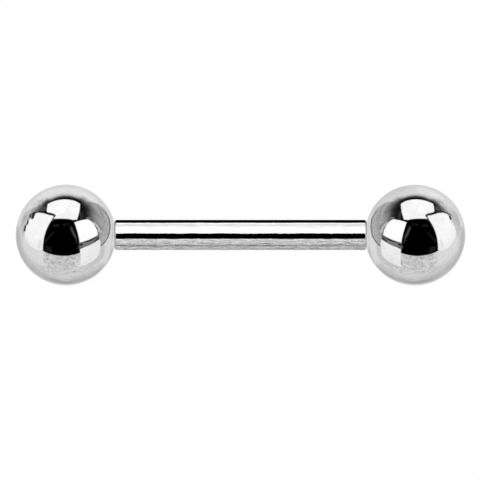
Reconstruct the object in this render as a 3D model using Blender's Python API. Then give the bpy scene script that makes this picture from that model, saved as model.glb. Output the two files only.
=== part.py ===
"""Straight barbell: a round steel bar with a screw-on ball at each end.

Metres, +Z up. The bar lies along X with its middle over the origin, and the origin
is on the surface that the two balls rest on. Each ball has a flat seat that closes
on the shoulder at its end of the bar, and a blind threaded bore for the post that
stands on that shoulder. A small flat below lets it rest without rolling.
Run it in Blender 4.5.
"""

import math

import bmesh
import bpy
from mathutils import Matrix

MM = 0.001

# Bar
BAR_DIAMETER = 1.2 * MM
SHANK_LENGTH = 10.0 * MM  # between the two shoulder faces
SHOULDER_EDGE_RADIUS = 0.1 * MM
POST_LENGTH = 1.75 * MM  # from the shoulder face to the tip
POST_NECK_LENGTH = 0.12 * MM  # plain relief between the shoulder and the thread
POST_TIP_LENGTH = 0.1 * MM
POST_TIP_TAPER = 0.08 * MM  # taken off the radius over the tip

# Ball
BALL_DIAMETER = 4.0 * MM
REST_FLAT_WIDTH = 1.0 * MM
SEAT_RING_WIDTH = 0.05 * MM  # flat of the shoulder that bears on the ball
SEAT_GAP = 0.02 * MM
BORE_TIP_ROOM = 0.25 * MM  # full bore left beyond the post's tip
MOUTH_LENGTH = 0.08 * MM
DRILL_POINT_ANGLE = math.radians(118.0)

# Thread, right-handed at both ends
THREAD_PITCH = 0.225 * MM
THREAD_DEPTH = 0.075 * MM
THREAD_CLEARANCE = 0.02 * MM  # radial, between the post's crests and the bore's
THREAD_FADE_TURNS = 0.75
THREAD_PROFILE = (0.0, 0.0, 1.0, 1.0)  # height at even steps along one pitch

# Facets
OUTER_SIDES = 32
INNER_SIDES = OUTER_SIDES // 2
EDGE_STEPS = 3

# Sizes that follow from the ones above
BALL_RADIUS = BALL_DIAMETER / 2
BAR_RADIUS = BAR_DIAMETER / 2
SHOULDER_X = SHANK_LENGTH / 2
SHOULDER_FLAT_RADIUS = BAR_RADIUS - SHOULDER_EDGE_RADIUS
BORE_GROOVE_RADIUS = SHOULDER_FLAT_RADIUS - SEAT_RING_WIDTH
BORE_RADIUS = BORE_GROOVE_RADIUS - THREAD_DEPTH
POST_CREST_RADIUS = BORE_RADIUS - THREAD_CLEARANCE
POST_ROOT_RADIUS = POST_CREST_RADIUS - THREAD_DEPTH
BORE_DEPTH = POST_LENGTH + BORE_TIP_ROOM

# The seat is a flat as wide as the bar, so it lies this far from the ball's middle
SEAT_OFFSET = math.sqrt(BALL_RADIUS**2 - BAR_RADIUS**2)
BALL_CENTRE_X = SHOULDER_X + SEAT_GAP + SEAT_OFFSET
AXIS_HEIGHT = math.sqrt(BALL_RADIUS**2 - (REST_FLAT_WIDTH / 2) ** 2)


def clear_scene():
    for old in list(bpy.data.objects):
        bpy.data.objects.remove(old, do_unlink=True)


def round_point(x, radius, index, sides):
    """Corner of a polygon about X that has a flat side, not a corner, straight down.

    The sides touch the circle of the given radius, so the corners lie just outside it.
    """
    angle = (index + 0.5) * 2 * math.pi / sides
    reach = radius / math.cos(math.pi / sides)
    return (x, reach * math.sin(angle), -reach * math.cos(angle))


def ring(bm, x, radius, sides):
    return [bm.verts.new(round_point(x, radius, i, sides)) for i in range(sides)]


def join_rings(bm, first, second):
    """Quads between two rings with as many corners."""
    count = len(first)
    for i in range(count):
        after = (i + 1) % count
        bm.faces.new((first[i], first[after], second[after], second[i]))


def join_outer_to_inner(bm, outer, inner):
    """Faces between a ring and one inside it that has half as many corners."""
    count = len(inner)
    for i in range(count):
        after = (i + 1) % count
        near, far = outer[2 * i], outer[2 * i + 1]
        bm.faces.new((near, far, inner[i]))
        bm.faces.new((far, outer[(2 * i + 2) % len(outer)], inner[after], inner[i]))


def join_to_point(bm, last, x):
    point = bm.verts.new((x, 0.0, 0.0))
    for i in range(len(last)):
        bm.faces.new((last[i], last[(i + 1) % len(last)], point))


def cut_thread(bm, start, end, start_x, end_x, base_radius):
    """A thread between two rings, raised by its depth from base_radius.

    Its rows follow the helix, so crests and roots are true edges. The last column of
    a row is the first column of the row one turn further on, and rows that would run
    past either ring close on that ring's own corners.
    """
    sides = len(start)
    steps = len(THREAD_PROFILE)
    turns = max(1, math.floor((end_x - start_x) / THREAD_PITCH))
    pitch = (end_x - start_x) / turns
    made = {}

    def corner(column, row):
        if column == sides:
            column, row = 0, row + steps
        place = row * sides + column * steps - steps * sides
        turn = place / (steps * sides)
        if place <= 0:
            return start[column]
        if place >= turns * steps * sides:
            return end[column]
        if (column, row) not in made:
            fade = min(1.0, turn / THREAD_FADE_TURNS, (turns - turn) / THREAD_FADE_TURNS)
            radius = base_radius + THREAD_DEPTH * THREAD_PROFILE[row % steps] * fade
            point = round_point(start_x + turn * pitch, radius, column, sides)
            made[column, row] = bm.verts.new(point)
        return made[column, row]

    for row in range(steps * (turns + 1)):
        for column in range(sides):
            loop = (
                corner(column, row),
                corner(column + 1, row),
                corner(column + 1, row + 1),
                corner(column, row + 1),
            )
            different = list(dict.fromkeys(loop))
            if len(different) > 2:
                bm.faces.new(different)


def finished_mesh(bm, name, material):
    bmesh.ops.recalc_face_normals(bm, faces=bm.faces[:])
    mesh = bpy.data.meshes.new(name)
    bm.to_mesh(mesh)
    bm.free()
    mesh.materials.append(material)
    mesh.shade_smooth()
    mesh.set_sharp_from_angle(angle=math.radians(30.0))
    return mesh


def add_post(bm, shoulder):
    """The threaded post on one shoulder, from the corners of the shoulder's flat."""
    thread_start = SHOULDER_X + POST_NECK_LENGTH
    tip = SHOULDER_X + POST_LENGTH
    thread_end = tip - POST_TIP_LENGTH
    foot = ring(bm, SHOULDER_X, POST_ROOT_RADIUS, INNER_SIDES)
    start = ring(bm, thread_start, POST_ROOT_RADIUS, INNER_SIDES)
    end = ring(bm, thread_end, POST_ROOT_RADIUS, INNER_SIDES)
    nose = ring(bm, tip, POST_ROOT_RADIUS - POST_TIP_TAPER, INNER_SIDES)
    join_outer_to_inner(bm, shoulder, foot)
    join_rings(bm, foot, start)
    cut_thread(bm, start, end, thread_start, thread_end, POST_ROOT_RADIUS)
    join_rings(bm, end, nose)
    bm.faces.new(nose)


def build_bar_mesh(material):
    """Half the bar from its middle outwards, then the same half turned about Z."""
    bm = bmesh.new()
    middle = ring(bm, 0.0, BAR_RADIUS, OUTER_SIDES)
    last = middle
    for step in range(EDGE_STEPS + 1):
        angle = math.pi / 2 * step / EDGE_STEPS
        x = SHOULDER_X - SHOULDER_EDGE_RADIUS * (1 - math.sin(angle))
        radius = SHOULDER_FLAT_RADIUS + SHOULDER_EDGE_RADIUS * math.cos(angle)
        following = ring(bm, x, radius, OUTER_SIDES)
        join_rings(bm, last, following)
        last = following
    add_post(bm, last)

    copy = bmesh.ops.duplicate(bm, geom=bm.verts[:] + bm.edges[:] + bm.faces[:])
    turned = [item for item in copy["geom"] if isinstance(item, bmesh.types.BMVert)]
    half_turn = Matrix.Rotation(math.pi, 3, "Z")
    bmesh.ops.rotate(bm, cent=(0.0, 0.0, 0.0), matrix=half_turn, verts=turned)
    seam = [vert for vert in bm.verts if abs(vert.co.x) < SHOULDER_EDGE_RADIUS / 2]
    bmesh.ops.remove_doubles(bm, verts=seam, dist=SEAT_GAP / 10)
    return finished_mesh(bm, "bar", material)


def cut_rest_flat(bm):
    """Cuts the ball off flat below, so that it rests there."""
    cut = bmesh.ops.bisect_plane(
        bm,
        geom=bm.verts[:] + bm.edges[:] + bm.faces[:],
        plane_co=(0.0, 0.0, -AXIS_HEIGHT),
        plane_no=(0.0, 0.0, -1.0),
        clear_outer=True,
    )
    rim = [item for item in cut["geom_cut"] if isinstance(item, bmesh.types.BMEdge)]
    bmesh.ops.contextual_create(bm, geom=rim)


def build_ball_mesh(material):
    """The ball about its middle, with its seat and bore facing -X.

    Its facets touch the true sphere.
    """
    bm = bmesh.new()
    band = 2 * math.pi / OUTER_SIDES
    reach = BALL_RADIUS / math.cos(band / 2)
    bands = OUTER_SIDES // 2
    outer = ring(bm, BALL_RADIUS, reach * math.sin(band / 2), OUTER_SIDES)
    bm.faces.new(outer)
    for step in range(1, bands):
        latitude = math.pi / 2 - band * (step + 0.5)
        x = reach * math.sin(latitude)
        if x < -SEAT_OFFSET + BALL_RADIUS * (1 - math.cos(band)):
            break
        following = ring(bm, x, reach * math.cos(latitude), OUTER_SIDES)
        join_rings(bm, outer, following)
        outer = following
    seat = ring(bm, -SEAT_OFFSET, BAR_RADIUS, OUTER_SIDES)
    join_rings(bm, outer, seat)

    thread_start = -SEAT_OFFSET + MOUTH_LENGTH
    thread_end = -SEAT_OFFSET + POST_LENGTH
    bottom = -SEAT_OFFSET + BORE_DEPTH
    mouth = ring(bm, -SEAT_OFFSET, BORE_GROOVE_RADIUS, INNER_SIDES)
    start = ring(bm, thread_start, BORE_RADIUS, INNER_SIDES)
    end = ring(bm, thread_end, BORE_RADIUS, INNER_SIDES)
    floor = ring(bm, bottom, BORE_RADIUS, INNER_SIDES)
    join_outer_to_inner(bm, seat, mouth)
    join_rings(bm, mouth, start)
    cut_thread(bm, start, end, thread_start, thread_end, BORE_RADIUS)
    join_rings(bm, end, floor)
    join_to_point(bm, floor, bottom + BORE_RADIUS / math.tan(DRILL_POINT_ANGLE / 2))
    cut_rest_flat(bm)
    return finished_mesh(bm, "ball", material)


def polished_steel(name, colour, roughness):
    material = bpy.data.materials.new(name)
    material.use_nodes = True
    shader = material.node_tree.nodes["Principled BSDF"]
    shader.inputs["Base Color"].default_value = (*colour, 1.0)
    shader.inputs["Metallic"].default_value = 1.0
    shader.inputs["Roughness"].default_value = roughness
    return material


def add_piece(name, mesh, axis, x=0.0, turn=0.0):
    piece = bpy.data.objects.new(name, mesh)
    bpy.context.collection.objects.link(piece)
    piece.parent = axis
    piece.location = (x, 0.0, 0.0)
    piece.rotation_euler = (0.0, 0.0, turn)
    return piece


def build_barbell():
    clear_scene()
    axis = bpy.data.objects.new("barbell_axis", None)
    axis.empty_display_size = BALL_RADIUS
    axis.location = (0.0, 0.0, AXIS_HEIGHT)
    bpy.context.collection.objects.link(axis)

    bar_steel = polished_steel("bar_steel", (0.72, 0.72, 0.71), 0.12)
    ball_steel = polished_steel("ball_steel", (0.76, 0.76, 0.75), 0.06)
    ball_mesh = build_ball_mesh(ball_steel)
    add_piece("bar", build_bar_mesh(bar_steel), axis)
    add_piece("ball_right", ball_mesh, axis, x=BALL_CENTRE_X)
    add_piece("ball_left", ball_mesh, axis, x=-BALL_CENTRE_X, turn=math.pi)
    bpy.context.view_layer.update()


build_barbell()
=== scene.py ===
"""Looks of the straight barbell: a polished bar, its two screw-on balls and their studio.

Metres, +Z up, with the bar along X and the floor at Z = 0, as in the frame. The bar and
the balls are fine turned surfaces that stand for the plain solids, with their threads
wound by Geometry Nodes. Polished steel shows little but what stands round it, so each
piece has a light tent of its own, painted with the cards that the piece mirrors.
"""

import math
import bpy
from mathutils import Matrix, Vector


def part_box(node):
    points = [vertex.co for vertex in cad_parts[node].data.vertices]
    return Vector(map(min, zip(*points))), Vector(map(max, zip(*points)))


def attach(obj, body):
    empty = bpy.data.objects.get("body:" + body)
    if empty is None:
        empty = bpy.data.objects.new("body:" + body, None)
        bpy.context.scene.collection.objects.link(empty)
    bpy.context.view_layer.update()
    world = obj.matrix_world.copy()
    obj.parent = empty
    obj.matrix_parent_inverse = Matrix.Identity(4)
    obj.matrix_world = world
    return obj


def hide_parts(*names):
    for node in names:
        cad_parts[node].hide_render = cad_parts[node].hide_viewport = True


bl_info = {
    "name": "Straight Barbell",
    "version": (1, 0, 0),
    "blender": (4, 5, 0),
    "location": "3D View > Sidebar > Barbell",
    "description": "Builds a straight barbell with threaded posts, its balls and a small studio",
    "category": "Add Mesh",
}

from functools import partial
from typing import NamedTuple

import bmesh
import bpy
import numpy as np
from bpy.props import FloatProperty, FloatVectorProperty, PointerProperty
from bpy.types import Operator, Panel, PropertyGroup
from mathutils import Matrix, Vector

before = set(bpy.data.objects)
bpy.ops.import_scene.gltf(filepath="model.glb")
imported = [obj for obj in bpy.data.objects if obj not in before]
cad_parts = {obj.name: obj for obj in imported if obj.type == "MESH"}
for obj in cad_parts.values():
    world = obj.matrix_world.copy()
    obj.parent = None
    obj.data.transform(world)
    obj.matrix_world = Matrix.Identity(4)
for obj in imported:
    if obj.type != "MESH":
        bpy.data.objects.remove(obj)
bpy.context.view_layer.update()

MM = 0.001

# Places read from the frame
BAR_LOW, BAR_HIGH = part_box("bar")
BALL_LOW, BALL_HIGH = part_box("ball_right")
BALL_RADIUS = (BALL_HIGH.y - BALL_LOW.y) / 2
BALL_CENTRE_X = BALL_HIGH.x - BALL_RADIUS
AXIS_HEIGHT = BALL_HIGH.z - BALL_RADIUS
BAR_RADIUS = (BAR_HIGH.y - BAR_LOW.y) / 2
POST_TIP_X = BAR_HIGH.x
SEAT_X = BALL_LOW.x

# How finely turned surfaces are made, and how close points are to count as one
SIDES, BALL_ROWS, EDGE_ROWS = 128, 84, 16
TENT_SIDES, TENT_ROWS = 480, 240
MERGE_DISTANCE = 1e-7

# How far a machined corner is eased
EDGE_BREAK = 0.012 * MM

# Pixels across the picture, and how far its middle lies left of the bar's and below it
PICTURE_PIXELS = 480
AIM_LEFT, AIM_BELOW = 0.5, 5


def metres(name, description, default):
    """A length that the sidebar shows."""
    return FloatProperty(name=name, description=description, default=default, subtype="DISTANCE")


class BarSizes(PropertyGroup):
    """Sizes of the bar and of the post at each end"""

    radius: metres("Bar Radius", "Radius of the plain shank", BAR_RADIUS)
    shoulder_edge: metres(
        "Shoulder Edge", "Radius of the rounded edge where the shank meets its shoulder", 0.1 * MM
    )
    neck: metres("Neck", "Plain length between the shoulder and the thread", 0.12 * MM)
    tip: metres("Tip", "Length of the tapered tip beyond the thread", 0.1 * MM)
    tip_taper: metres("Tip Taper", "What the tip loses of its radius", 0.08 * MM)


class BallSizes(PropertyGroup):
    """Sizes of the two balls"""

    radius: metres("Ball Radius", "Radius of each ball", BALL_RADIUS)
    seat_gap: metres(
        "Seat Gap", "Room that the plain solids keep between shoulder and seat", 0.02 * MM
    )
    tight_gap: metres("Tight Gap", "Room left there when the ball is screwed tight", 0.002 * MM)
    mouth: metres("Mouth", "Length of the countersink at the mouth of the bore", 0.08 * MM)
    mouth_radius: metres(
        "Mouth Radius", "Radius of the bore's mouth, which the thread's grooves reach", 0.45 * MM
    )
    tip_room: metres("Tip Room", "Full bore left beyond the tip of the post", 0.25 * MM)
    drill_angle: FloatProperty(
        name="Drill Angle",
        description="Angle of the drilled bottom of the bore",
        default=math.radians(118),
        subtype="ANGLE",
    )


class ThreadSizes(PropertyGroup):
    """Sizes of the thread on the posts and in the bores"""

    pitch: metres("Pitch", "Distance from one crest to the next", 0.225 * MM)
    depth: metres("Depth", "Height of the crests over the grooves", 0.075 * MM)
    clearance: metres("Clearance", "Room between the post's crests and the bore's", 0.02 * MM)
    fade: FloatProperty(
        name="Run-out",
        description="Turns over which the thread starts and ends",
        default=0.75,
    )


class SteelFinish(PropertyGroup):
    """Colour and polish of the steel"""

    ball_colour: FloatVectorProperty(
        name="Ball Steel",
        description="Colour of the polished balls",
        default=(0.76, 0.76, 0.76),
        subtype="COLOR",
    )
    bar_colour: FloatVectorProperty(
        name="Bar Steel",
        description="Colour of the polished bar",
        default=(0.72, 0.72, 0.72),
        subtype="COLOR",
    )


class StudioSettings(PropertyGroup):
    """The camera and the light tents"""

    elevation: FloatProperty(
        name="Camera Elevation",
        description="How steeply the camera looks down",
        default=math.radians(48),
        subtype="ANGLE",
    )
    lens: FloatProperty(
        name="Lens",
        description="Focal length of the camera, in millimetres",
        default=600,
    )
    picture_width: metres("Picture Width", "Width that the picture shows at the bar", 19.05 * MM)
    tent_radius: metres("Tent Radius", "Distance of the cards from the ball they light", 0.5)
    bar_tent_radius: metres(
        "Bar Tent Radius", "Distance of the cards from the middle of the bar", 20 * MM
    )


class BarbellSettings(PropertyGroup):
    """All that the sidebar shows"""

    bar: PointerProperty(type=BarSizes)
    ball: PointerProperty(type=BallSizes)
    thread: PointerProperty(type=ThreadSizes)
    steel: PointerProperty(type=SteelFinish)
    studio: PointerProperty(type=StudioSettings)


class Wiring:
    """Adds nodes to one tree and links what they are given."""

    def __init__(self, tree):
        self.tree = tree

    def feed(self, socket, value):
        if isinstance(value, bpy.types.NodeSocket):
            self.tree.links.new(value, socket)
        elif value is not None:
            socket.default_value = value

    def node(self, kind, inputs=None, **settings):
        node = self.tree.nodes.new(kind)
        for name, value in settings.items():
            setattr(node, name, value)
        for name, value in (inputs or {}).items():
            self.feed(node.inputs[name], value)
        return node

    def math(self, operation, *values):
        node = self.node("ShaderNodeMath", operation=operation)
        for socket, value in zip(node.inputs, values):
            self.feed(socket, value)
        return node.outputs[0]

    def eased(self, value, low, high, to_low=0.0, to_high=1.0):
        """The value's way from low to high, eased at both ends, on another range."""
        inputs = {
            "Value": value, "From Min": low, "From Max": high, "To Min": to_low, "To Max": to_high
        }
        return self.node("ShaderNodeMapRange", inputs, interpolation_type="SMOOTHSTEP").outputs[0]

    def split(self, vector):
        """The X, Y and Z of a vector."""
        return self.node("ShaderNodeSeparateXYZ", {0: vector}).outputs

    def combined(self, x, y, z):
        return self.node("ShaderNodeCombineXYZ", {"X": x, "Y": y, "Z": z}).outputs[0]

    def mixed(self, share, first, second, blend="MIX"):
        """A colour on the way from the first to the second, or to what blending them gives."""
        inputs = {0: share, 6: first, 7: second}
        return self.node("ShaderNodeMix", inputs, data_type="RGBA", blend_type=blend).outputs[2]

    def noise(self, vector, scale, detail=3.0):
        """Smooth noise from 0 to 1."""
        inputs = {"Vector": vector, "Scale": scale, "Detail": detail}
        return self.node("ShaderNodeTexNoise", inputs).outputs["Fac"]

    def sharpened(self, noise, reach, to_low=0.0, to_high=1.0):
        """Noise that goes from low to high within this reach of its middle."""
        return self.eased(noise, 0.5 - reach, 0.5 + reach, to_low, to_high)


def new_tree(name, tree_kind, inputs, outputs):
    """A node tree with named sockets. Inputs are name, kind and default, outputs name and kind."""
    tree = bpy.data.node_groups.new(name, tree_kind)
    for label, kind, value in inputs:
        socket = tree.interface.new_socket(label, in_out="INPUT", socket_type="NodeSocket" + kind)
        if value is not None:
            socket.default_value = value
    for label, kind in outputs:
        tree.interface.new_socket(label, in_out="OUTPUT", socket_type="NodeSocket" + kind)
    wire = Wiring(tree)
    return tree, wire, wire.node("NodeGroupInput").outputs


def shared_group(name, build):
    """The node group of that name, built the first time that it is asked for."""
    return bpy.data.node_groups.get(name) or build(name)


def new_geometry_tree(name, inputs):
    shape = ("Geometry", "Geometry")
    return new_tree(name, "GeometryNodeTree", ((*shape, None), *inputs), (shape,))


def unit_grid(wire, sides, rows):
    """A flat grid to wrap round X, and each point's share of the turn and of the rows."""
    columns = wire.math("ADD", sides, 1)
    sizes = {"Size X": 1.0, "Size Y": 1.0, "Vertices X": columns, "Vertices Y": rows}
    grid = wire.node("GeometryNodeMeshGrid", sizes).outputs["Mesh"]
    place = wire.split(wire.node("GeometryNodeInputPosition").outputs[0])
    return grid, wire.math("ADD", place["X"], 0.5), wire.math("ADD", place["Y"], 0.5)


def wrap_round(wire, grid, turn, along, radius, steel):
    """Wraps the grid round X from straight down, closes seams and poles, and ends the tree."""
    angle = wire.math("MULTIPLY", turn, math.tau)
    side = wire.math("MULTIPLY", radius, wire.math("SINE", angle))
    down = wire.math("MULTIPLY", radius, wire.math("COSINE", angle))
    place = wire.combined(along, side, wire.math("MULTIPLY", down, -1.0))
    shape = wire.node("GeometryNodeSetPosition", {"Geometry": grid, "Position": place}).outputs[0]
    merged = wire.node(
        "GeometryNodeMergeByDistance", {"Geometry": shape, "Distance": MERGE_DISTANCE}
    )
    smooth = wire.node("GeometryNodeSetShadeSmooth", {"Geometry": merged.outputs[0]})
    real = wire.node("GeometryNodeRealizeInstances", {"Geometry": smooth.outputs[0]})
    painted = wire.node("GeometryNodeSetMaterial", {"Geometry": real.outputs[0], "Material": steel})
    wire.node("NodeGroupOutput", {"Geometry": painted.outputs[0]})


def turned_surface(name):
    """Turns a line of profile points, at (x, 0, radius), once round X."""
    inputs = (("Sides", "Int", 96), ("Steel", "Material", None))
    tree, wire, given = new_geometry_tree(name, inputs)
    profile = given["Geometry"]
    size = wire.node("GeometryNodeAttributeDomainSize", {"Geometry": profile})
    rows = size.outputs["Point Count"]
    grid, turn, share = unit_grid(wire, given["Sides"], rows)
    row = wire.math("ROUND", wire.math("MULTIPLY", share, wire.math("SUBTRACT", rows, 1)))
    sampled = wire.node(
        "GeometryNodeSampleIndex",
        {"Geometry": profile, "Index": row},
        data_type="FLOAT_VECTOR",
        domain="POINT",
    )
    wire.feed(sampled.inputs["Value"], wire.node("GeometryNodeInputPosition").outputs[0])
    point = wire.split(sampled.outputs[0])
    wrap_round(wire, grid, turn, point["X"], point["Z"], given["Steel"])
    return tree


def wound_thread(name):
    """Winds a thread round X. Its rows follow the helix and stop at either end."""
    tree, wire, given = new_geometry_tree(
        name,
        (
            ("Start", "Float", 0.0),
            ("Length", "Float", 1.0),
            ("Turns", "Int", 5),
            ("Groove Radius", "Float", 1.0),
            ("Depth", "Float", 0.1),
            ("Run-out", "Float", 0.75),
            ("Flat Share", "Float", 0.3),
            ("Rows per Turn", "Int", 24),
            ("Sides", "Int", 96),
            ("Steel", "Material", None),
        ),
    )
    turns = given["Turns"]
    spans = wire.math("ADD", turns, 1)
    rows = wire.math("ADD", wire.math("MULTIPLY", spans, given["Rows per Turn"]), 1)
    grid, turn, share = unit_grid(wire, given["Sides"], rows)
    first = wire.math("SUBTRACT", wire.math("MULTIPLY", share, spans), 1)
    wound = wire.math("ADD", first, turn)
    held = wire.math("MAXIMUM", wire.math("MINIMUM", wound, turns), 0.0)
    left = wire.math("DIVIDE", held, given["Run-out"])
    right = wire.math("DIVIDE", wire.math("SUBTRACT", turns, held), given["Run-out"])
    fade = wire.math("MINIMUM", wire.math("MINIMUM", left, right), 1.0)

    step = wire.math("FRACT", first)
    slope = wire.math("ABSOLUTE", wire.math("SUBTRACT", wire.math("MULTIPLY", step, 2), 1))
    ridge = wire.math("SUBTRACT", 1.0, slope)
    height = wire.eased(ridge, given["Flat Share"], wire.math("SUBTRACT", 1.0, given["Flat Share"]))
    rise = wire.math("MULTIPLY", wire.math("MULTIPLY", height, fade), given["Depth"])
    radius = wire.math("ADD", given["Groove Radius"], rise)
    run = wire.math("MULTIPLY", wire.math("DIVIDE", held, turns), given["Length"])
    wrap_round(wire, grid, turn, wire.math("ADD", given["Start"], run), radius, given["Steel"])
    return tree


def new_object(name, data):
    """An object in the scene."""
    made = bpy.data.objects.new(name, data)
    bpy.context.scene.collection.objects.link(made)
    return made


def mesh_from_tree(tree, values, points=()):
    """The plain mesh that a geometry tree makes of a line of points."""
    line = bpy.data.meshes.new("profile")
    line.from_pydata([(x, 0.0, radius) for x, radius in points], [], [])
    carrier = new_object("profile", line)
    modifier = carrier.modifiers.new(tree.name, "NODES")
    modifier.node_group = tree
    for item in tree.interface.items_tree:
        if item.in_out == "INPUT" and item.name in values:
            modifier[item.identifier] = values[item.name]
    seen = carrier.evaluated_get(bpy.context.evaluated_depsgraph_get())
    made = bpy.data.meshes.new_from_object(seen)
    bpy.data.objects.remove(carrier)
    steel = made.materials[-1]
    made.materials.clear()
    made.materials.append(steel)
    made.polygons.foreach_set("material_index", [0] * len(made.polygons))
    return made


def turned_mesh(profile, steel, sides=SIDES):
    """A profile of (x, radius) points turned once round X."""
    tree = shared_group("Turned Surface", turned_surface)
    return mesh_from_tree(tree, {"Sides": sides, "Steel": steel}, profile)


def joined_mesh(name, parts):
    """One closed mesh from stretches whose end rings meet. parts holds (mesh, matrix)."""
    bm = bmesh.new()
    materials = []
    for mesh, matrix in parts:
        steel = mesh.materials[0]
        if steel not in materials:
            materials.append(steel)
        first_vert, first_face = len(bm.verts), len(bm.faces)
        bm.from_mesh(mesh)
        bm.verts.ensure_lookup_table()
        bm.faces.ensure_lookup_table()
        bmesh.ops.transform(bm, matrix=matrix, verts=bm.verts[first_vert:])
        for face in bm.faces[first_face:]:
            face.material_index = materials.index(steel)
    bmesh.ops.remove_doubles(bm, verts=bm.verts[:], dist=MERGE_DISTANCE)
    bmesh.ops.recalc_face_normals(bm, faces=bm.faces[:])
    joined = bpy.data.meshes.new(name)
    bm.to_mesh(joined)
    bm.free()
    for steel in materials:
        joined.materials.append(steel)
    return joined


def arc(centre_x, centre_radius, radius, start, end, steps):
    """Profile points on an arc; its angles are degrees from +X towards larger radius."""
    points = []
    for step in range(steps + 1):
        angle = math.radians(start + (end - start) * step / steps)
        points.append(
            (centre_x + radius * math.cos(angle), centre_radius + radius * math.sin(angle))
        )
    return points


def softened(points, place=1, steps=5):
    """The profile with the corner at this place in it eased."""
    before, corner, after = (Vector(point) for point in points[place - 1:place + 2])
    start = corner + (before - corner).normalized() * EDGE_BREAK
    end = corner + (after - corner).normalized() * EDGE_BREAK
    soft = []
    for step in range(steps + 1):
        share = step / steps
        soft.append(tuple(start.lerp(corner, share).lerp(corner.lerp(end, share), share)))
    return [*points[:place], *soft, *points[place + 1:]]


class ThreadSpan(NamedTuple):
    """Where a thread lies along X, and the radius of its grooves."""

    start: float
    end: float
    radius: float


def thread_mesh(span, sizes, steel):
    length = span.end - span.start
    values = {
        "Start": span.start,
        "Length": length,
        "Turns": max(1, math.floor(length / sizes.pitch)),
        "Groove Radius": span.radius,
        "Depth": sizes.depth,
        "Run-out": sizes.fade,
        "Sides": SIDES,
        "Steel": steel,
    }
    return mesh_from_tree(shared_group("Wound Thread", wound_thread), values)


def new_piece(name, mesh, body):
    """Puts a finished mesh in the scene in place of its plain solid."""
    piece = new_object(name, mesh)
    # No piece mirrors another
    piece.visible_glossy = False
    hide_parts(body)
    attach(piece, body)
    return piece


# How much closer rings lie along a neck than across a face
RINGS_ALONG = 2.5

# Tones that the streaks and the rings give the steel, from dark to bright
STREAK_TONES = (0.93, 1.06)
RING_TONES = (0.86, 1.04)

# Tone of the steel in a thread's groove, darkened there as painted shade, on a crest, and at the
# end of a bore, darkened there as painted shade
GROOVE_SHADE_TONE, CREST_TONE, BORE_END_SHADE_TONE = 0.42, 0.92, 0.05

# Roughness in a grimy groove, on a worn crest and round the shank's rubbed end edges
GRIMY_ROUGHNESS, WORN_ROUGHNESS, RUBBED_ROUGHNESS = 0.42, 0.2, 0.42


def polish_haze(name):
    """Soft patches where the polish is a little duller."""
    inputs = (
        ("Vector", "Vector", None),
        ("Patches per Metre", "Float", 900.0),
        ("Bright", "Color", (0.8, 0.8, 0.8, 1.0)),
        ("Dull", "Color", (0.7, 0.7, 0.7, 1.0)),
        ("Smooth", "Float", 0.035),
        ("Hazy", "Float", 0.055),
    )
    outputs = (("Colour", "Color"), ("Roughness", "Float"))
    tree, wire, given = new_tree(name, "ShaderNodeTree", inputs, outputs)
    cloud = wire.noise(given["Vector"], given["Patches per Metre"], 6.0)
    colour = wire.mixed(wire.sharpened(cloud, 0.14), given["Bright"], given["Dull"])
    roughness = wire.sharpened(cloud, 0.14, given["Smooth"], given["Hazy"])
    wire.node("NodeGroupOutput", {"Colour": colour, "Roughness": roughness})
    return tree


def fine_lines(name):
    """Lines along X, as a polishing belt leaves them, longer than they are wide."""
    inputs = (
        ("Vector", "Vector", None),
        ("Length", "Float", 1.0 * MM),
        ("Width", "Float", 0.02 * MM),
        ("Depth", "Float", 0.0001 * MM),
    )
    outputs = (("Line", "Float"), ("Height", "Float"))
    tree, wire, given = new_tree(name, "ShaderNodeTree", inputs, outputs)
    place = wire.split(given["Vector"])
    along = wire.math("DIVIDE", place["X"], given["Length"])
    side = wire.math("DIVIDE", place["Y"], given["Width"])
    up = wire.math("DIVIDE", place["Z"], given["Width"])
    line = wire.sharpened(wire.noise(wire.combined(along, side, up), 1.0), 0.16)
    height = wire.math("MULTIPLY", line, given["Depth"])
    wire.node("NodeGroupOutput", {"Line": line, "Height": height})
    return tree


def axis_distance(wire, place):
    """How far a place, split into X, Y and Z, lies from the bar's axis."""
    flat = wire.combined(0.0, place["Y"], place["Z"])
    return wire.node("ShaderNodeVectorMath", {0: flat}, operation="LENGTH").outputs["Value"]


def turning_rings(name):
    """Rings round X that a cutting tool leaves on a turned face, neck or cone."""
    inputs = (
        ("Vector", "Vector", None),
        ("Spacing", "Float", 0.012 * MM),
        ("Depth", "Float", 0.0004 * MM),
    )
    outputs = (("Ring", "Float"), ("Height", "Float"))
    tree, wire, given = new_tree(name, "ShaderNodeTree", inputs, outputs)
    place = wire.split(given["Vector"])
    along = wire.math("MULTIPLY", place["X"], RINGS_ALONG)
    run = wire.math("ADD", along, axis_distance(wire, place))
    feed = wire.math("DIVIDE", run, given["Spacing"])
    noise = wire.node(
        "ShaderNodeTexNoise", {"W": feed, "Scale": 1.0, "Detail": 2.0}, noise_dimensions="1D"
    )
    ring = wire.sharpened(noise.outputs["Fac"], 0.2)
    height = wire.math("MULTIPLY", ring, given["Depth"])
    wire.node("NodeGroupOutput", {"Ring": ring, "Height": height})
    return tree


def groove_shade(name):
    """How far a thread is from its groove to its crest: 0 at one radius, 1 at the other. It paints
    shade into the groove's colour and makes the groove rougher.
    """
    inputs = (
        ("Vector", "Vector", None),
        ("Grimy Radius", "Float", 0.3 * MM),
        ("Bright Radius", "Float", 0.4 * MM),
    )
    tree, wire, given = new_tree(name, "ShaderNodeTree", inputs, (("Crest Share", "Float"),))
    radius = axis_distance(wire, wire.split(given["Vector"]))
    span = wire.math("SUBTRACT", given["Bright Radius"], given["Grimy Radius"])
    share = wire.math("DIVIDE", wire.math("SUBTRACT", radius, given["Grimy Radius"]), span)
    ragged = wire.math("MULTIPLY", wire.noise(given["Vector"], 12000.0), 0.5)
    crest_share = wire.eased(wire.math("ADD", share, ragged), 0.4, 1.0)
    wire.node("NodeGroupOutput", {"Crest Share": crest_share})
    return tree


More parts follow.
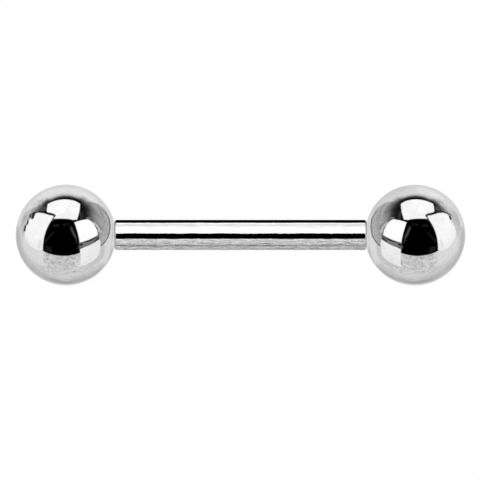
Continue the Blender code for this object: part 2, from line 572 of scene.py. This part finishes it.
def toned(colour, share):
    """That share of a colour, as a socket takes it."""
    return (*(share * value for value in colour), 1.0)


def new_steel(name):
    """A metal material, its wiring, its shader and coordinates centred on the bar's axis."""
    material = bpy.data.materials.new(name)
    material.use_nodes = True
    wire = Wiring(material.node_tree)
    shader = material.node_tree.nodes["Principled BSDF"]
    shader.inputs["Metallic"].default_value = 1.0
    place = wire.node("ShaderNodeTexCoord").outputs["Object"]
    to_axis = (0.0, 0.0, -AXIS_HEIGHT)
    centred = wire.node("ShaderNodeMapping", {"Vector": place, "Location": to_axis})
    return material, wire, shader, centred.outputs[0]


def place_group(wire, name, build, **inputs):
    """A shared group in a material, with its inputs named with _ for each space."""
    node = wire.node("ShaderNodeGroup", node_tree=shared_group(name, build))
    for label, value in inputs.items():
        wire.feed(node.inputs[label.replace("_", " ")], value)
    return node.outputs


def emboss(wire, shader, height):
    """Presses a height in metres into the shader's normal."""
    bump = wire.node("ShaderNodeBump", {"Height": height, "Distance": 1.0, "Strength": 1.0})
    wire.feed(shader.inputs["Normal"], bump.outputs[0])


def mirror_polished_steel(colour):
    """The balls: a mirror with faint haze and hairlines from wiping, in two directions."""
    material, wire, shader, place = new_steel("ball_steel")
    haze = place_group(
        wire, "Polish Haze", polish_haze, Vector=place, Patches_per_Metre=1100.0,
        Bright=toned(colour, 1.02), Dull=toned(colour, 0.97), Smooth=0.034, Hazy=0.05,
    )
    heights = []
    for slant in ((0.3, 0.5, 0.9), (1.1, -0.4, 2.2)):
        wiped = wire.node("ShaderNodeMapping", {"Vector": place, "Rotation": slant}).outputs[0]
        lines = place_group(
            wire, "Fine Lines", fine_lines, Vector=wiped, Length=1.6 * MM, Width=0.014 * MM,
            Depth=0.00001 * MM,
        )
        heights.append(lines["Height"])
    wire.feed(shader.inputs["Base Color"], haze["Colour"])
    wire.feed(shader.inputs["Roughness"], haze["Roughness"])
    emboss(wire, shader, wire.math("ADD", *heights))
    return material


def belt_polished_steel(colour, shoulder, edge):
    """The shank: polished lengthwise, with short streaks, and duller round its end edges."""
    material, wire, shader, place = new_steel("bar_steel")
    streaks = place_group(
        wire, "Fine Lines", fine_lines, Vector=place, Length=0.4 * MM, Width=0.07 * MM,
        Depth=0.0005 * MM,
    )
    hairlines = place_group(
        wire, "Fine Lines", fine_lines, Vector=place, Length=1.8 * MM, Width=0.012 * MM,
        Depth=0.00003 * MM,
    )
    haze = place_group(
        wire, "Polish Haze", polish_haze, Vector=place, Patches_per_Metre=700.0,
        Bright=toned(colour, 1.02), Dull=toned(colour, 0.98), Smooth=0.015, Hazy=0.028,
    )
    shade = wire.eased(streaks["Line"], 0.0, 1.0, *STREAK_TONES)
    streaked = wire.mixed(1.0, haze["Colour"], shade, "MULTIPLY")
    from_middle = wire.math("ABSOLUTE", wire.split(place)["X"])
    rubbed = wire.eased(from_middle, shoulder - edge, shoulder - 0.4 * edge, 0.0, RUBBED_ROUGHNESS)
    wire.feed(shader.inputs["Base Color"], streaked)
    wire.feed(shader.inputs["Roughness"], wire.math("MAXIMUM", haze["Roughness"], rubbed))
    emboss(wire, shader, wire.math("ADD", streaks["Height"], hairlines["Height"]))
    return material


def machined_steel(name, colour, shaded_radius, bright_radius, depth_shade=None):
    """Turned steel: rings, painted shade in the grooves with lighter crests, and painted shade
    darkening it down a bore.
    """
    material, wire, shader, place = new_steel(name)
    rings = place_group(
        wire, "Turning Rings", turning_rings, Vector=place, Spacing=0.02 * MM, Depth=0.0004 * MM
    )
    crest_share = place_group(
        wire, "Groove Shade", groove_shade, Vector=place, Grimy_Radius=shaded_radius,
        Bright_Radius=bright_radius,
    )["Crest Share"]
    # Painted shade: the colour is darker in the thread's grooves and lighter on its crests
    tone = wire.mixed(crest_share, toned(colour, GROOVE_SHADE_TONE), toned(colour, CREST_TONE))
    shade = wire.eased(rings["Ring"], 0.0, 1.0, *RING_TONES)
    # Painted shade: the colour darkens down a bore towards its end
    if depth_shade:
        near, far = depth_shade
        from_middle = wire.math("ABSOLUTE", wire.split(place)["X"])
        down = wire.eased(from_middle, near, far, 1.0, BORE_END_SHADE_TONE)
        shade = wire.math("MULTIPLY", shade, down)
    roughness = wire.eased(crest_share, 0.0, 1.0, GRIMY_ROUGHNESS, WORN_ROUGHNESS)
    wire.feed(shader.inputs["Base Color"], wire.mixed(1.0, tone, shade, "MULTIPLY"))
    wire.feed(shader.inputs["Roughness"], roughness)
    emboss(wire, shader, rings["Height"])
    return material


def build_bar(settings):
    bar, ball, thread = settings.bar, settings.ball, settings.thread
    shoulder = SEAT_X - ball.seat_gap
    root = ball.mouth_radius - 2 * thread.depth - thread.clearance
    polished = belt_polished_steel(settings.steel.bar_colour, shoulder, bar.shoulder_edge)
    machined = machined_steel("post_steel", settings.steel.bar_colour, root, root + thread.depth)
    flat = bar.radius - bar.shoulder_edge

    span = ThreadSpan(shoulder + bar.neck, POST_TIP_X - bar.tip, root)
    shank = [(0.0, bar.radius)]
    shank += arc(shoulder - bar.shoulder_edge, flat, bar.shoulder_edge, 90, 0, EDGE_ROWS)
    face = softened([(shoulder, flat), (shoulder, root), (span.start, root)])
    taper_end = (POST_TIP_X, root - bar.tip_taper)
    tip = softened([(span.end, root), taper_end, (POST_TIP_X, 0.0)])

    half = [
        turned_mesh(shank, polished),
        turned_mesh(face, machined),
        thread_mesh(span, thread, machined),
        turned_mesh(tip, machined),
    ]
    axis = Matrix.Translation((0.0, 0.0, AXIS_HEIGHT))
    about = axis @ Matrix.Rotation(math.pi, 4, "Z")
    parts = [(mesh, matrix) for matrix in (axis, about) for mesh in half]
    new_piece("polished_bar", joined_mesh("polished_bar", parts), "bar")


def cut_rest_flat(mesh):
    """Cuts a ball off at the floor, so that it rests on a small flat."""
    bm = bmesh.new()
    bm.from_mesh(mesh)
    cut = bmesh.ops.bisect_plane(
        bm,
        geom=bm.verts[:] + bm.edges[:] + bm.faces[:],
        plane_co=(0.0, 0.0, 0.0),
        plane_no=(0.0, 0.0, -1.0),
        clear_outer=True,
    )
    rim = [item for item in cut["geom_cut"] if isinstance(item, bmesh.types.BMEdge)]
    bmesh.ops.contextual_create(bm, geom=rim)
    for edge in rim:
        edge.smooth = False
    bm.to_mesh(mesh)
    bm.free()


def build_balls(settings):
    ball, thread = settings.ball, settings.thread
    seat = BALL_CENTRE_X - (SEAT_X - ball.seat_gap + ball.tight_gap)
    seat_radius = math.sqrt(ball.radius**2 - seat**2)
    bore = ball.mouth_radius - thread.depth
    post_end = POST_TIP_X - BALL_CENTRE_X + ball.seat_gap
    polished = mirror_polished_steel(settings.steel.ball_colour)
    machined = machined_steel(
        "bore_steel", settings.steel.ball_colour, ball.mouth_radius, bore,
        depth_shade=(SEAT_X, SEAT_X + 1.0 * MM),
    )

    seat_angle = 180 - math.degrees(math.asin(seat_radius / ball.radius))
    outside = arc(0.0, 0.0, ball.radius, 0, seat_angle, BALL_ROWS)
    outside[-1] = (-seat, seat_radius)
    outside.append((-seat, seat_radius - 2 * EDGE_BREAK))
    outside = softened(outside, len(outside) - 2)
    span = ThreadSpan(-seat + ball.mouth, post_end, bore)
    mouth = softened([outside[-1], (-seat, ball.mouth_radius), (span.start, bore)])
    bottom = span.end + ball.tip_room
    point = bottom + bore / math.tan(ball.drill_angle / 2)
    floor = softened([(span.end, bore), (bottom, bore), (point, 0.0)])

    parts = [
        turned_mesh(outside, polished),
        turned_mesh(mouth, machined),
        thread_mesh(span, thread, machined),
        turned_mesh(floor, machined),
    ]
    place = Matrix.Translation((BALL_CENTRE_X, 0.0, AXIS_HEIGHT))
    about = Matrix.Rotation(math.pi, 4, "Z") @ place
    for side, matrix in (("left", about), ("right", place)):
        mesh = joined_mesh(f"polished_ball_{side}", [(part, matrix) for part in parts])
        cut_rest_flat(mesh)
        new_piece(f"polished_ball_{side}", mesh, f"ball_{side}")


class Card(NamedTuple):
    """A card, or a shadow between cards, as seen from the middle of the left ball's tent.

    Corners are (azimuth, elevation) in degrees, with azimuth 0 at the back and growing
    to the right. Tones are from 0, black, to 255, white, as they show in the steel: one
    number, or (elevation, tone) pairs. Edge is the width of its soft edge in degrees, and
    mottle is how strongly fine specks show on it. The right ball's tent has the same cards
    the other way round, and a card marked left or right is in that ball's tent only.
    """

    name: str
    corners: tuple
    tones: object
    edge: float = 1.0
    mottle: float = 0.2
    ball: str = "both"


# Tones of the table below the horizon, by elevation
TABLE_FRONT = ((-90, 168), (-82, 186), (-74, 196), (-62, 206), (-45, 200), (-30, 198), (0, 189))
TABLE_SIDES = ((-90, 161), (-82, 164), (-74, 176), (-64, 188), (-50, 200), (-35, 212), (0, 218))
TABLE_BACK = (
    (-90, 159), (-82, 168), (-77, 184), (-70, 202), (-60, 220), (-50, 230), (-38, 226),
    (-28, 215), (-18, 212), (-8, 222), (0, 226),
)
# Height of the table's far edge, by azimuth
HORIZON = (
    (-180, -0.8), (-150, -2.2), (-132, -3), (-100, 0), (140, 1), (155, 0.4), (180, -0.8)
)

BALL_CARDS = (
    Card("left_table_shade",
         ((-94, -58), (-64, -28), (-46, -24), (-28, -42), (-32, -60), (-70, -70)), 183, 14),
    Card("right_table_shade", ((20, -76), (30, -56), (76, -60), (88, -76), (50, -82)), 174, 8),
    Card("right_table_light", ((48, -23), (92, -22), (94, -48), (52, -54)), 217, 8),
    Card("table_seam", ((33, -26), (62, -30), (62, -36.5), (33, -32.5)), 198, 4),
    Card("table_sheen", ((16, -43), (40, -36.5), (44, -41.5), (20, -51)), 236, 5),
    Card("table_rim_shade", ((26, -57), (32, -49.5), (60, -43), (58, -48), (40, -56)), 188, 6),
    Card("table_by_panel_foot", ((92, -33), (108, -31), (134, -36), (134, -43), (94, -43)), 196, 4),
    Card("table_under_left_panel", ((-134, -3), (-76, -4), (-78, -30), (-100, -42), (-134, -38)),
         ((-42, 212), (-30, 219), (0, 220)), 2.5),
    Card("back_wall", ((-50, -30), (-56, 50), (38, 56), (42, -30)),
         ((-18, 213), (0, 227), (14, 228), (20, 219), (24, 204), (28, 171), (33, 80), (36, 26),
          (39, 4)), 3),
    Card("back_wall_dusk", ((3, -36), (-4, 17), (30, 20), (38, 4), (34, -35)),
         ((-36, 203), (-10, 208), (17, 213)), 8, ball="right"),
    Card("wall_shade_left", ((-52, -6), (-54, 46), (-30, 42), (-27, 16), (-34, -6)),
         ((-6, 212), (8, 209), (17, 186), (22, 144), (27, 78), (32, 36), (38, 12)), 7, 1.0),
    Card("wall_shade_right", ((22, 12), (20, 42), (45, 48), (44, 10)),
         ((10, 212), (17, 192), (22, 162), (32, 66), (36, 20), (39, 6)), 7),
    Card("left_back_corner", ((-74, -20), (-64, 48), (-47, 42), (-46, 14), (-54, -20)),
         ((-20, 192), (0, 200), (9, 186), (17, 154), (22, 110), (28, 78), (37, 74), (42, 40)),
         7, 1.0),
    Card("left_corner_foot", ((-64, -4), (-44, -3), (-42, -19), (-58, -22)), 184, 7),
    Card("left_corner_shade", ((-72, 0), (-66, 21), (-48, 21), (-46, 2), (-52, -8)),
         ((-6, 190), (4, 180), (9, 158), (17, 130)), 6, 0.8, "left"),
    Card("right_wall", ((37, -18.5), (32, 43), (70, 64), (100, 65.5), (99, -13)),
         ((-17, 166), (-12, 172), (-4, 168), (3, 155), (10, 165), (18, 142), (28, 95), (33, 62),
          (38, 36), (43, 22), (48, 16), (53, 20), (57, 52), (60, 14), (63, 0)), 4, 0.6),
    Card("right_wall_light", ((60, 12), (58, 56), (84, 56), (88, 12)),
         ((12, 164), (18, 150), (28, 124), (38, 62), (45, 26), (51, 28), (56, 62), (60, 22)),
         10, 0.6),
    Card("right_wall_foot", ((43, -16.6), (43, -21.4), (75, -21.1), (75, -17.6)), 106, 2.2),
    Card("right_wall_foot_end", ((73, -18), (73, -20.8), (101.6, -15.8), (100.8, -12.2)), 104, 2.2),
    Card("right_wall_mark", ((41.5, -8), (45.5, -8), (47.5, -15), (43.5, -17)), 128, 3),
    Card("table_by_right_panel", ((90, -20), (105, -17), (108, -36), (92, -42)), 198, 5),
    Card("top_softbox",
         ((-59, 45.7), (-38, 35.5), (-3, 42.5), (20, 41.8), (33.4, 41.6), (60, 58.2), (97, 64.9),
          (112, 75.8), (-112.5, 80), (-94, 65.3)),
         ((34, 250), (70, 247), (78, 243), (90, 242)), 1.2),
    Card("softbox_front_corner", ((97, 64.9), (110, 72.4), (114, 76.8), (102, 79)), 243, 1.2),
    Card("softbox_hot_spot", ((-44, 76), (-34, 58), (-22, 58), (-12, 76)), 256, 9),
    Card("left_panel",
         ((-97.2, 59.2), (-82, 64), (-60.5, 30), (-59.2, 18), (-68, 0), (-74, -10), (-83, -14.5),
          (-105, -13), (-120, -8), (-130.8, -1), (-126.4, 14.6), (-120.2, 30.1)),
         ((-15, 236), (-8, 242), (0, 245), (15, 248), (40, 247), (65, 245)), 2),
    Card("left_panel_top", ((-93, 60.5), (-82, 65.2), (-75, 63), (-82, 57)), 245, 1.4),
    Card("left_panel_shade", ((-70, 6), (-58, 6), (-60, -9), (-72, -10)), 196, 5, ball="right"),
    Card("panel_mark", ((-69, 10.5), (-62, 12.5), (-58.5, 7.5), (-63, 4.5)), 24, 2, ball="right"),
    Card("left_panel_haze", ((-127, -2), (-126, 8), (-121, 18), (-116, 16), (-116, -4)), 231, 5),
    Card("left_panel_shadow_low", ((-57.5, 3), (-55.6, 3), (-56.5, 22), (-57.6, 31), (-60.5, 31)),
         ((3, 130), (9, 60), (13, 36), (31, 26)), 1.6),
    Card("left_panel_shadow", ((-61, 29), (-57, 29), (-60.6, 46.5), (-66.2, 46.5)), 8, 1.2),
    Card("left_panel_shadow_high", ((-66.6, 43), (-61.3, 46), (-67, 66), (-76.6, 63)), 0, 1.2),
    Card("left_panel_shadow_top", ((-73, 62.6), (-68, 67), (-78, 69.3), (-86, 66.6), (-86, 64.6)),
         54, 1.4),
    Card("left_panel_shadow_end",
         ((-84, 64.4), (-84, 66.2), (-100, 65), (-100, 59.6), (-92, 61.6)), 84, 1.4),
    Card("corner_a", ((-70, 17.4), (-58, 20), (-54, 11), (-67, 10.5)), 40, 1.6, ball="left"),
    Card("corner_b", ((-65, 9.4), (-60, 9.8), (-54, 3.9), (-60, 3.2)), 60, 1.6, ball="left"),
    Card("corner_c", ((-71, 2.4), (-66.5, 4.6), (-62.5, 0), (-69.5, -4)), 40, 1.8, ball="left"),
    Card("corner_d", ((-76, -8), (-69, -2.5), (-65, -8), (-70, -14.5)), 68, 1.8, ball="left"),
    Card("corner_e", ((-57, -6), (-52, -5), (-49, -12), (-54, -14.5)), 165, 3, ball="left"),
    Card("stand_patch", ((73, 35), (77.5, 45), (82, 44), (83, 31), (76, 33)), 112, 2.5),
    Card("stand_shade", ((75, 28), (79, 28), (85, 6), (80, 4)), 128, 3),
    Card("stand_light", ((80, 27), (85.5, 28), (90, 13), (91, 4), (85, 3), (82, 14)), 188, 2.5),
    Card("stand_mark_a", ((78.5, 37), (81, 37), (81.5, 31), (79.5, 31)), 84, 1.5),
    Card("stand_mark_b", ((85.6, 24), (89.5, 24), (91.8, 14.5), (88.6, 14)), 36, 1.6),
    Card("stand_mark_c", ((90, 9), (94, 10.5), (98, 5), (93, 3)), 128, 2.5),
    Card("panel_gap",
         ((96, 6.2), (100, 8.9), (145, 24.3), (149, 17), (148, 9), (104, -0.5), (98, -1)),
         ((0, 116), (25, 124)), 1.2),
    Card("panel_gap_upper_line",
         ((95, 7), (117, 15.2), (134, 21), (135, 18.5), (118, 12.2), (95, 4.4)), 14, 1.2),
    Card("panel_gap_lower_line", ((96.5, 4), (112, 7.2), (113, 5), (101, 0.5), (98, 1.5)), 50, 1.4),
    Card("panel_gap_end", ((138, 20.5), (148, 21), (148, 15.8), (138, 15.4)), 38, 1.6),
    Card("panel_gap_foot", ((139, 12), (148, 12.5), (148, 9), (139, 9.2)), 62, 1.6),
    Card("right_upper_panel",
         ((119, 67.4), (96, 57.3), (81.8, 42.5), (82.8, 32), (91.4, 15.4), (98, 8.4), (144.3, 23.9),
          (134.8, 52)), 256, 1.2),
    Card("right_lower_panel",
         ((99.8, -1.4), (104, 0.8), (116, 4.2), (136, 8.8), (147.8, 9.3), (149.5, -5), (150.5, -35),
          (128, -33.2), (107, -28)),
         ((-35, 232), (-20, 234), (0, 239), (9, 242)), 1.4),
    Card("opening_glow", ((144, 66), (157, 66), (155, 44), (150, 28), (147.5, 32)),
         ((28, 14), (45, 40), (60, 44), (66, 28)), 4, 0),
    Card("opening_line", ((151, 62), (156, 61), (153.5, 43), (150.5, 34), (148.5, 37)), 78, 2.5, 0),
    Card("opening_line_foot", ((150, 35), (153, 36), (152, 25), (149, 25.5)), 48, 2, 0),
    Card("opening_corner", ((148, 16.5), (151.5, 17), (152, 11), (149, 10)), 52, 2, 0),
    Card("opening_smudge_a", ((-148, 64), (-139, 66), (-119, 59), (-124, 56)), 30, 3, 0),
    Card("opening_smudge_b", ((-142, 48), (-137, 47.5), (-128.5, 22), (-132, 16)), 24, 3, 0),
    Card("opening_smudge_c", ((-147, 13.5), (-133, 10), (-138, 2), (-152, 1)), 26, 3, 0),
    Card("opening_smudge_d", ((-179, 73), (-163, 73), (-164, 69), (-179, 68.5)), 28, 2.5, 0),
    Card("opening_smudge_e", ((150, 74), (176, 74), (176, 70), (150, 70)), 22, 2.5, 0),
)

# Tones round the bar, by angle in degrees from the front horizon over the top
BAR_BANDS = (
    (-133, 0), (-131, 184), (-73, 174), (-59, 187), (-40, 148), (-33, 150), (-28, 190), (-9, 200),
    (3, 194), (17.7, 222), (19.1, 2), (59.2, 2), (60.6, 260), (95, 259), (118, 246), (126, 223),
    (132, 223), (146, 259), (152.5, 259), (153.9, 0),
)

# Fine specks show on the bar below this angle
BAR_MOTTLE_TOP = 18


def light_of(tone):
    """Linear brightness of a tone from 0 to 255."""
    shown = np.asarray(tone, dtype=float) / 255
    return np.where(shown < 0.04045, shown / 12.92, ((shown + 0.055) / 1.055) ** 2.4)


def towards(azimuth, elevation):
    """Unit vector in that direction, in degrees; azimuth 0 is the back (+Y)."""
    a, e = math.radians(azimuth), math.radians(elevation)
    return np.array((math.sin(a) * math.cos(e), math.cos(a) * math.cos(e), math.sin(e)))


def distance_inside(directions, corners):
    """Degrees from each direction to the nearest edge of a convex card, negative outside."""
    points = np.array([towards(*corner) for corner in corners])
    middle = points.mean(axis=0)
    nearest = np.full(len(directions), 180.0)
    for first, second in zip(points, np.roll(points, -1, axis=0)):
        normal = np.cross(first, second)
        normal /= np.linalg.norm(normal)
        if normal @ middle < 0:
            normal = -normal
        away = np.degrees(np.arcsin(np.clip(directions @ normal, -1, 1)))
        nearest = np.minimum(nearest, away)
    return nearest


def ramp(value, low, high):
    """How far a value is on its way from low to high, held between 0 and 1."""
    return np.clip((value - low) / (high - low), 0, 1)


def table_tones(azimuth, elevation):
    """Tones of the table, the share of it below its far edge, and its mottle."""
    front, sides, back = (
        np.interp(elevation, *zip(*tones)) for tones in (TABLE_FRONT, TABLE_SIDES, TABLE_BACK)
    )
    ahead, across = np.cos(np.radians(azimuth)), np.sin(np.radians(azimuth))

    # The table is a little lighter to the right, and its specks show most in front
    tones = np.where(ahead > 0, back, front) * ahead**2 + (sides + 4 * across) * across**2
    edge = np.interp(azimuth, *zip(*HORIZON))
    cover = ramp(edge - elevation, -0.6, 0.6)
    near_front = ramp(-ahead, 0.55, 0.7) * ramp(elevation, -58, -46)
    return tones, cover, cover * (0.25 + 0.75 * near_front)


def ball_light(side, directions):
    """Brightness and mottle of the tent round the left or the right ball."""
    if side == "right":
        directions = directions * (-1, 1, 1)
    azimuth = np.degrees(np.arctan2(directions[:, 0], directions[:, 1]))
    elevation = np.degrees(np.arcsin(np.clip(directions[:, 2], -1, 1)))
    tones, cover, mottle = table_tones(azimuth, elevation)
    light = light_of(tones) * cover
    for card in BALL_CARDS:
        if card.ball not in (side, "both"):
            continue
        pairs = card.tones if isinstance(card.tones, tuple) else ((0, card.tones),)
        painted = light_of(np.interp(elevation, *zip(*pairs)))
        inside = distance_inside(directions, card.corners)
        cover = ramp(inside, -card.edge / 2, card.edge / 2)
        light = light * (1 - cover) + painted * cover
        mottle = mottle * (1 - cover) + card.mottle * cover
    return light, mottle


def bar_light(directions):
    """Brightness and mottle of the tent round the bar."""
    round_bar = np.degrees(np.arctan2(directions[:, 2], -directions[:, 1]))
    light = light_of(np.interp(round_bar, *zip(*BAR_BANDS)))
    return light, (round_bar < BAR_MOTTLE_TOP) * 1.0


def mirrored_share(directions, elevation, colour):
    """Share of the light from each direction that the steel mirrors to the camera."""
    camera = towards(180, math.degrees(elevation))
    cosine = np.sqrt(np.clip((1 + directions @ camera) / 2, 0, 1))
    return colour + (1 - colour) * (1 - cosine) ** 5


def new_glow(name):
    """A bare material for what glows without being sampled as a lamp, and its wiring."""
    material = bpy.data.materials.new(name)
    material.use_nodes = True
    material.node_tree.nodes.clear()
    material.cycles.emission_sampling = "NONE"
    return material, Wiring(material.node_tree)


def tent_cloth(name, clouds, specks, contrast):
    """Clear cloth that glows with its tones, with so many clouds and specks per metre."""
    material, wire = new_glow(name)
    light = wire.node("ShaderNodeAttribute", attribute_name="light").outputs["Fac"]
    mottle = wire.node("ShaderNodeAttribute", attribute_name="mottle").outputs["Fac"]
    place = wire.node("ShaderNodeTexCoord").outputs["Object"]
    layers = []
    for scale in (clouds, specks):
        mapping = wire.node("ShaderNodeMapping", {"Vector": place, "Scale": scale})
        layers.append(wire.noise(mapping.outputs[0], 1.0))
    cloud = wire.math("MULTIPLY", wire.math("SUBTRACT", layers[0], 0.5), 0.6)

    # Sparse dark specks, and a little more light between them to make up for it
    speck = wire.eased(layers[1], 0.52, 0.64, 0.06, -0.3)
    both = wire.math("ADD", cloud, speck)
    swing = wire.math("MULTIPLY", wire.math("MULTIPLY", both, contrast), mottle)
    strength = wire.math("MULTIPLY", light, wire.math("ADD", swing, 1.0))
    glow = wire.node("ShaderNodeEmission", {"Strength": strength})
    clear = wire.node("ShaderNodeBsdfTransparent")
    cloth = wire.node("ShaderNodeAddShader", {0: glow.outputs[0], 1: clear.outputs[0]})
    wire.node("ShaderNodeOutputMaterial", {"Surface": cloth.outputs[0]})
    return material


def add_tent(name, piece_name, place, radius, light_round, colour, elevation, cloth):
    """A light tent that only one piece mirrors, painted for how the camera sees it."""
    half_circle = arc(0.0, 0.0, 1.0, 180, 0, TENT_ROWS)
    mesh = turned_mesh([(x, max(rim, 0.0)) for x, rim in half_circle], cloth, TENT_SIDES)
    places = np.zeros(len(mesh.vertices) * 3)
    mesh.vertices.foreach_get("co", places)
    directions = places.reshape(-1, 3)
    directions /= np.linalg.norm(directions, axis=1, keepdims=True)
    light, mottle = light_round(directions)
    light = light / mirrored_share(directions, elevation, colour)
    for label, values in (("light", light), ("mottle", mottle)):
        mesh.attributes.new(label, "FLOAT", "POINT")
        mesh.attributes[label].data.foreach_set("value", values.astype(np.float32))
    mesh.transform(Matrix.Translation((place, 0.0, AXIS_HEIGHT)) @ Matrix.Scale(radius, 4))
    tent = new_object(name, mesh)
    tent.visible_camera = False
    tent.visible_diffuse = False
    tent.visible_transmission = False
    tent.visible_shadow = False
    mirroring = bpy.data.collections.new(f"mirrors_{name}")
    mirroring.objects.link(bpy.data.objects[piece_name])
    tent.light_linking.receiver_collection = mirroring


# The floor's glow, how far off a ball shades it, and how steeply it brightens from there
FLOOR_GLOW, SHADE_REACH, SHADE_STEEPNESS = 1.02, 5 * MM, 7.0


def add_floor():
    """A pale floor, darker only right under a ball."""
    bpy.ops.mesh.primitive_plane_add(size=2.0)
    floor = bpy.context.object
    floor.name = "floor"
    material, wire = new_glow("pale_floor")
    open_sky = wire.node("ShaderNodeAmbientOcclusion", {"Distance": SHADE_REACH}, samples=8)
    rising = wire.math("MULTIPLY", open_sky.outputs["AO"], SHADE_STEEPNESS)
    strength = wire.math("MINIMUM", rising, FLOOR_GLOW)
    glow = wire.node("ShaderNodeEmission", {"Strength": strength})
    wire.node("ShaderNodeOutputMaterial", {"Surface": glow.outputs[0]})
    floor.data.materials.append(material)
    floor.visible_glossy = False
    floor.visible_diffuse = False


def add_camera(settings):
    camera = new_object("camera", bpy.data.cameras.new("camera"))
    camera.data.lens = settings.lens
    back = Vector((0.0, -math.cos(settings.elevation), math.sin(settings.elevation)))
    up = Vector((0.0, math.sin(settings.elevation), math.cos(settings.elevation)))
    pixel = settings.picture_width / PICTURE_PIXELS
    aim = Vector((-AIM_LEFT * pixel, 0.0, AXIS_HEIGHT)) - up * AIM_BELOW * pixel
    distance = settings.picture_width * settings.lens / camera.data.sensor_width
    camera.location = aim + back * distance
    camera.rotation_mode = "QUATERNION"
    camera.rotation_quaternion = (-back).to_track_quat("-Z", "Y")
    camera.data.clip_start = distance / 10
    camera.data.clip_end = distance * 20
    bpy.context.scene.camera = camera


def add_backdrop():
    """A white surround that only the camera sees."""
    world = bpy.data.worlds.new("white_surround")
    world.use_nodes = True
    wire = Wiring(world.node_tree)
    seen = wire.node("ShaderNodeLightPath").outputs["Is Camera Ray"]
    wire.feed(world.node_tree.nodes["Background"].inputs["Strength"], seen)
    world.node_tree.nodes["Background"].inputs["Color"].default_value = (1.0, 1.0, 1.0, 1.0)
    bpy.context.scene.world = world
    bpy.context.scene.view_settings.view_transform = "Standard"


def build_stage(settings):
    studio, steel = settings.studio, settings.steel
    ball_cloth = tent_cloth(
        "ball_tent_cloth", clouds=(14.0, 14.0, 14.0), specks=(22.0, 40.0, 60.0), contrast=1.4
    )
    bar_cloth = tent_cloth(
        "bar_tent_cloth", clouds=(5000.0, 300.0, 300.0), specks=(14000.0, 560.0, 560.0),
        contrast=4.0,
    )
    for side, place in (("left", -BALL_CENTRE_X), ("right", BALL_CENTRE_X)):
        add_tent(
            f"tent_{side}", f"polished_ball_{side}", place, studio.tent_radius,
            partial(ball_light, side), steel.ball_colour[0], studio.elevation, ball_cloth,
        )
    add_tent(
        "tent_bar", "polished_bar", 0.0, studio.bar_tent_radius, bar_light, steel.bar_colour[0],
        studio.elevation, bar_cloth,
    )
    add_floor()
    add_backdrop()
    add_camera(studio)


class BARBELL_OT_add_bar(Operator):
    """Add the polished bar with a threaded post at each end"""

    bl_idname = "barbell.add_bar"
    bl_label = "Add Bar"

    def execute(self, context):
        build_bar(context.scene.barbell)
        return {"FINISHED"}


class BARBELL_OT_add_balls(Operator):
    """Add the two screw-on balls"""

    bl_idname = "barbell.add_balls"
    bl_label = "Add Balls"

    def execute(self, context):
        build_balls(context.scene.barbell)
        return {"FINISHED"}


class BARBELL_OT_add_stage(Operator):
    """Add the floor, the light tents and the camera"""

    bl_idname = "barbell.add_stage"
    bl_label = "Add Stage"

    def execute(self, context):
        build_stage(context.scene.barbell)
        return {"FINISHED"}


class BARBELL_PT_sidebar(Panel):
    """Lists the sizes and what can be added"""

    bl_label = "Straight Barbell"
    bl_space_type = "VIEW_3D"
    bl_region_type = "UI"
    bl_category = "Barbell"

    def draw(self, context):
        settings = context.scene.barbell
        for part in ("bar", "ball", "thread", "steel", "studio"):
            group = getattr(settings, part)
            box = self.layout.box()
            for name in group.bl_rna.properties.keys():
                if name not in ("rna_type", "name"):
                    box.prop(group, name)
        for operator in OPERATORS:
            self.layout.operator(operator.bl_idname)


OPERATORS = (BARBELL_OT_add_bar, BARBELL_OT_add_balls, BARBELL_OT_add_stage)
CLASSES = (
    BarSizes, BallSizes, ThreadSizes, SteelFinish, StudioSettings, BarbellSettings,
    *OPERATORS, BARBELL_PT_sidebar,
)


def register():
    for item in CLASSES:
        bpy.utils.register_class(item)
    bpy.types.Scene.barbell = PointerProperty(type=BarbellSettings)


def unregister():
    del bpy.types.Scene.barbell
    for item in reversed(CLASSES):
        bpy.utils.unregister_class(item)


def main():
    register()
    bpy.ops.barbell.add_bar()
    bpy.ops.barbell.add_balls()
    bpy.ops.barbell.add_stage()


if __name__ == "__main__":
    main()
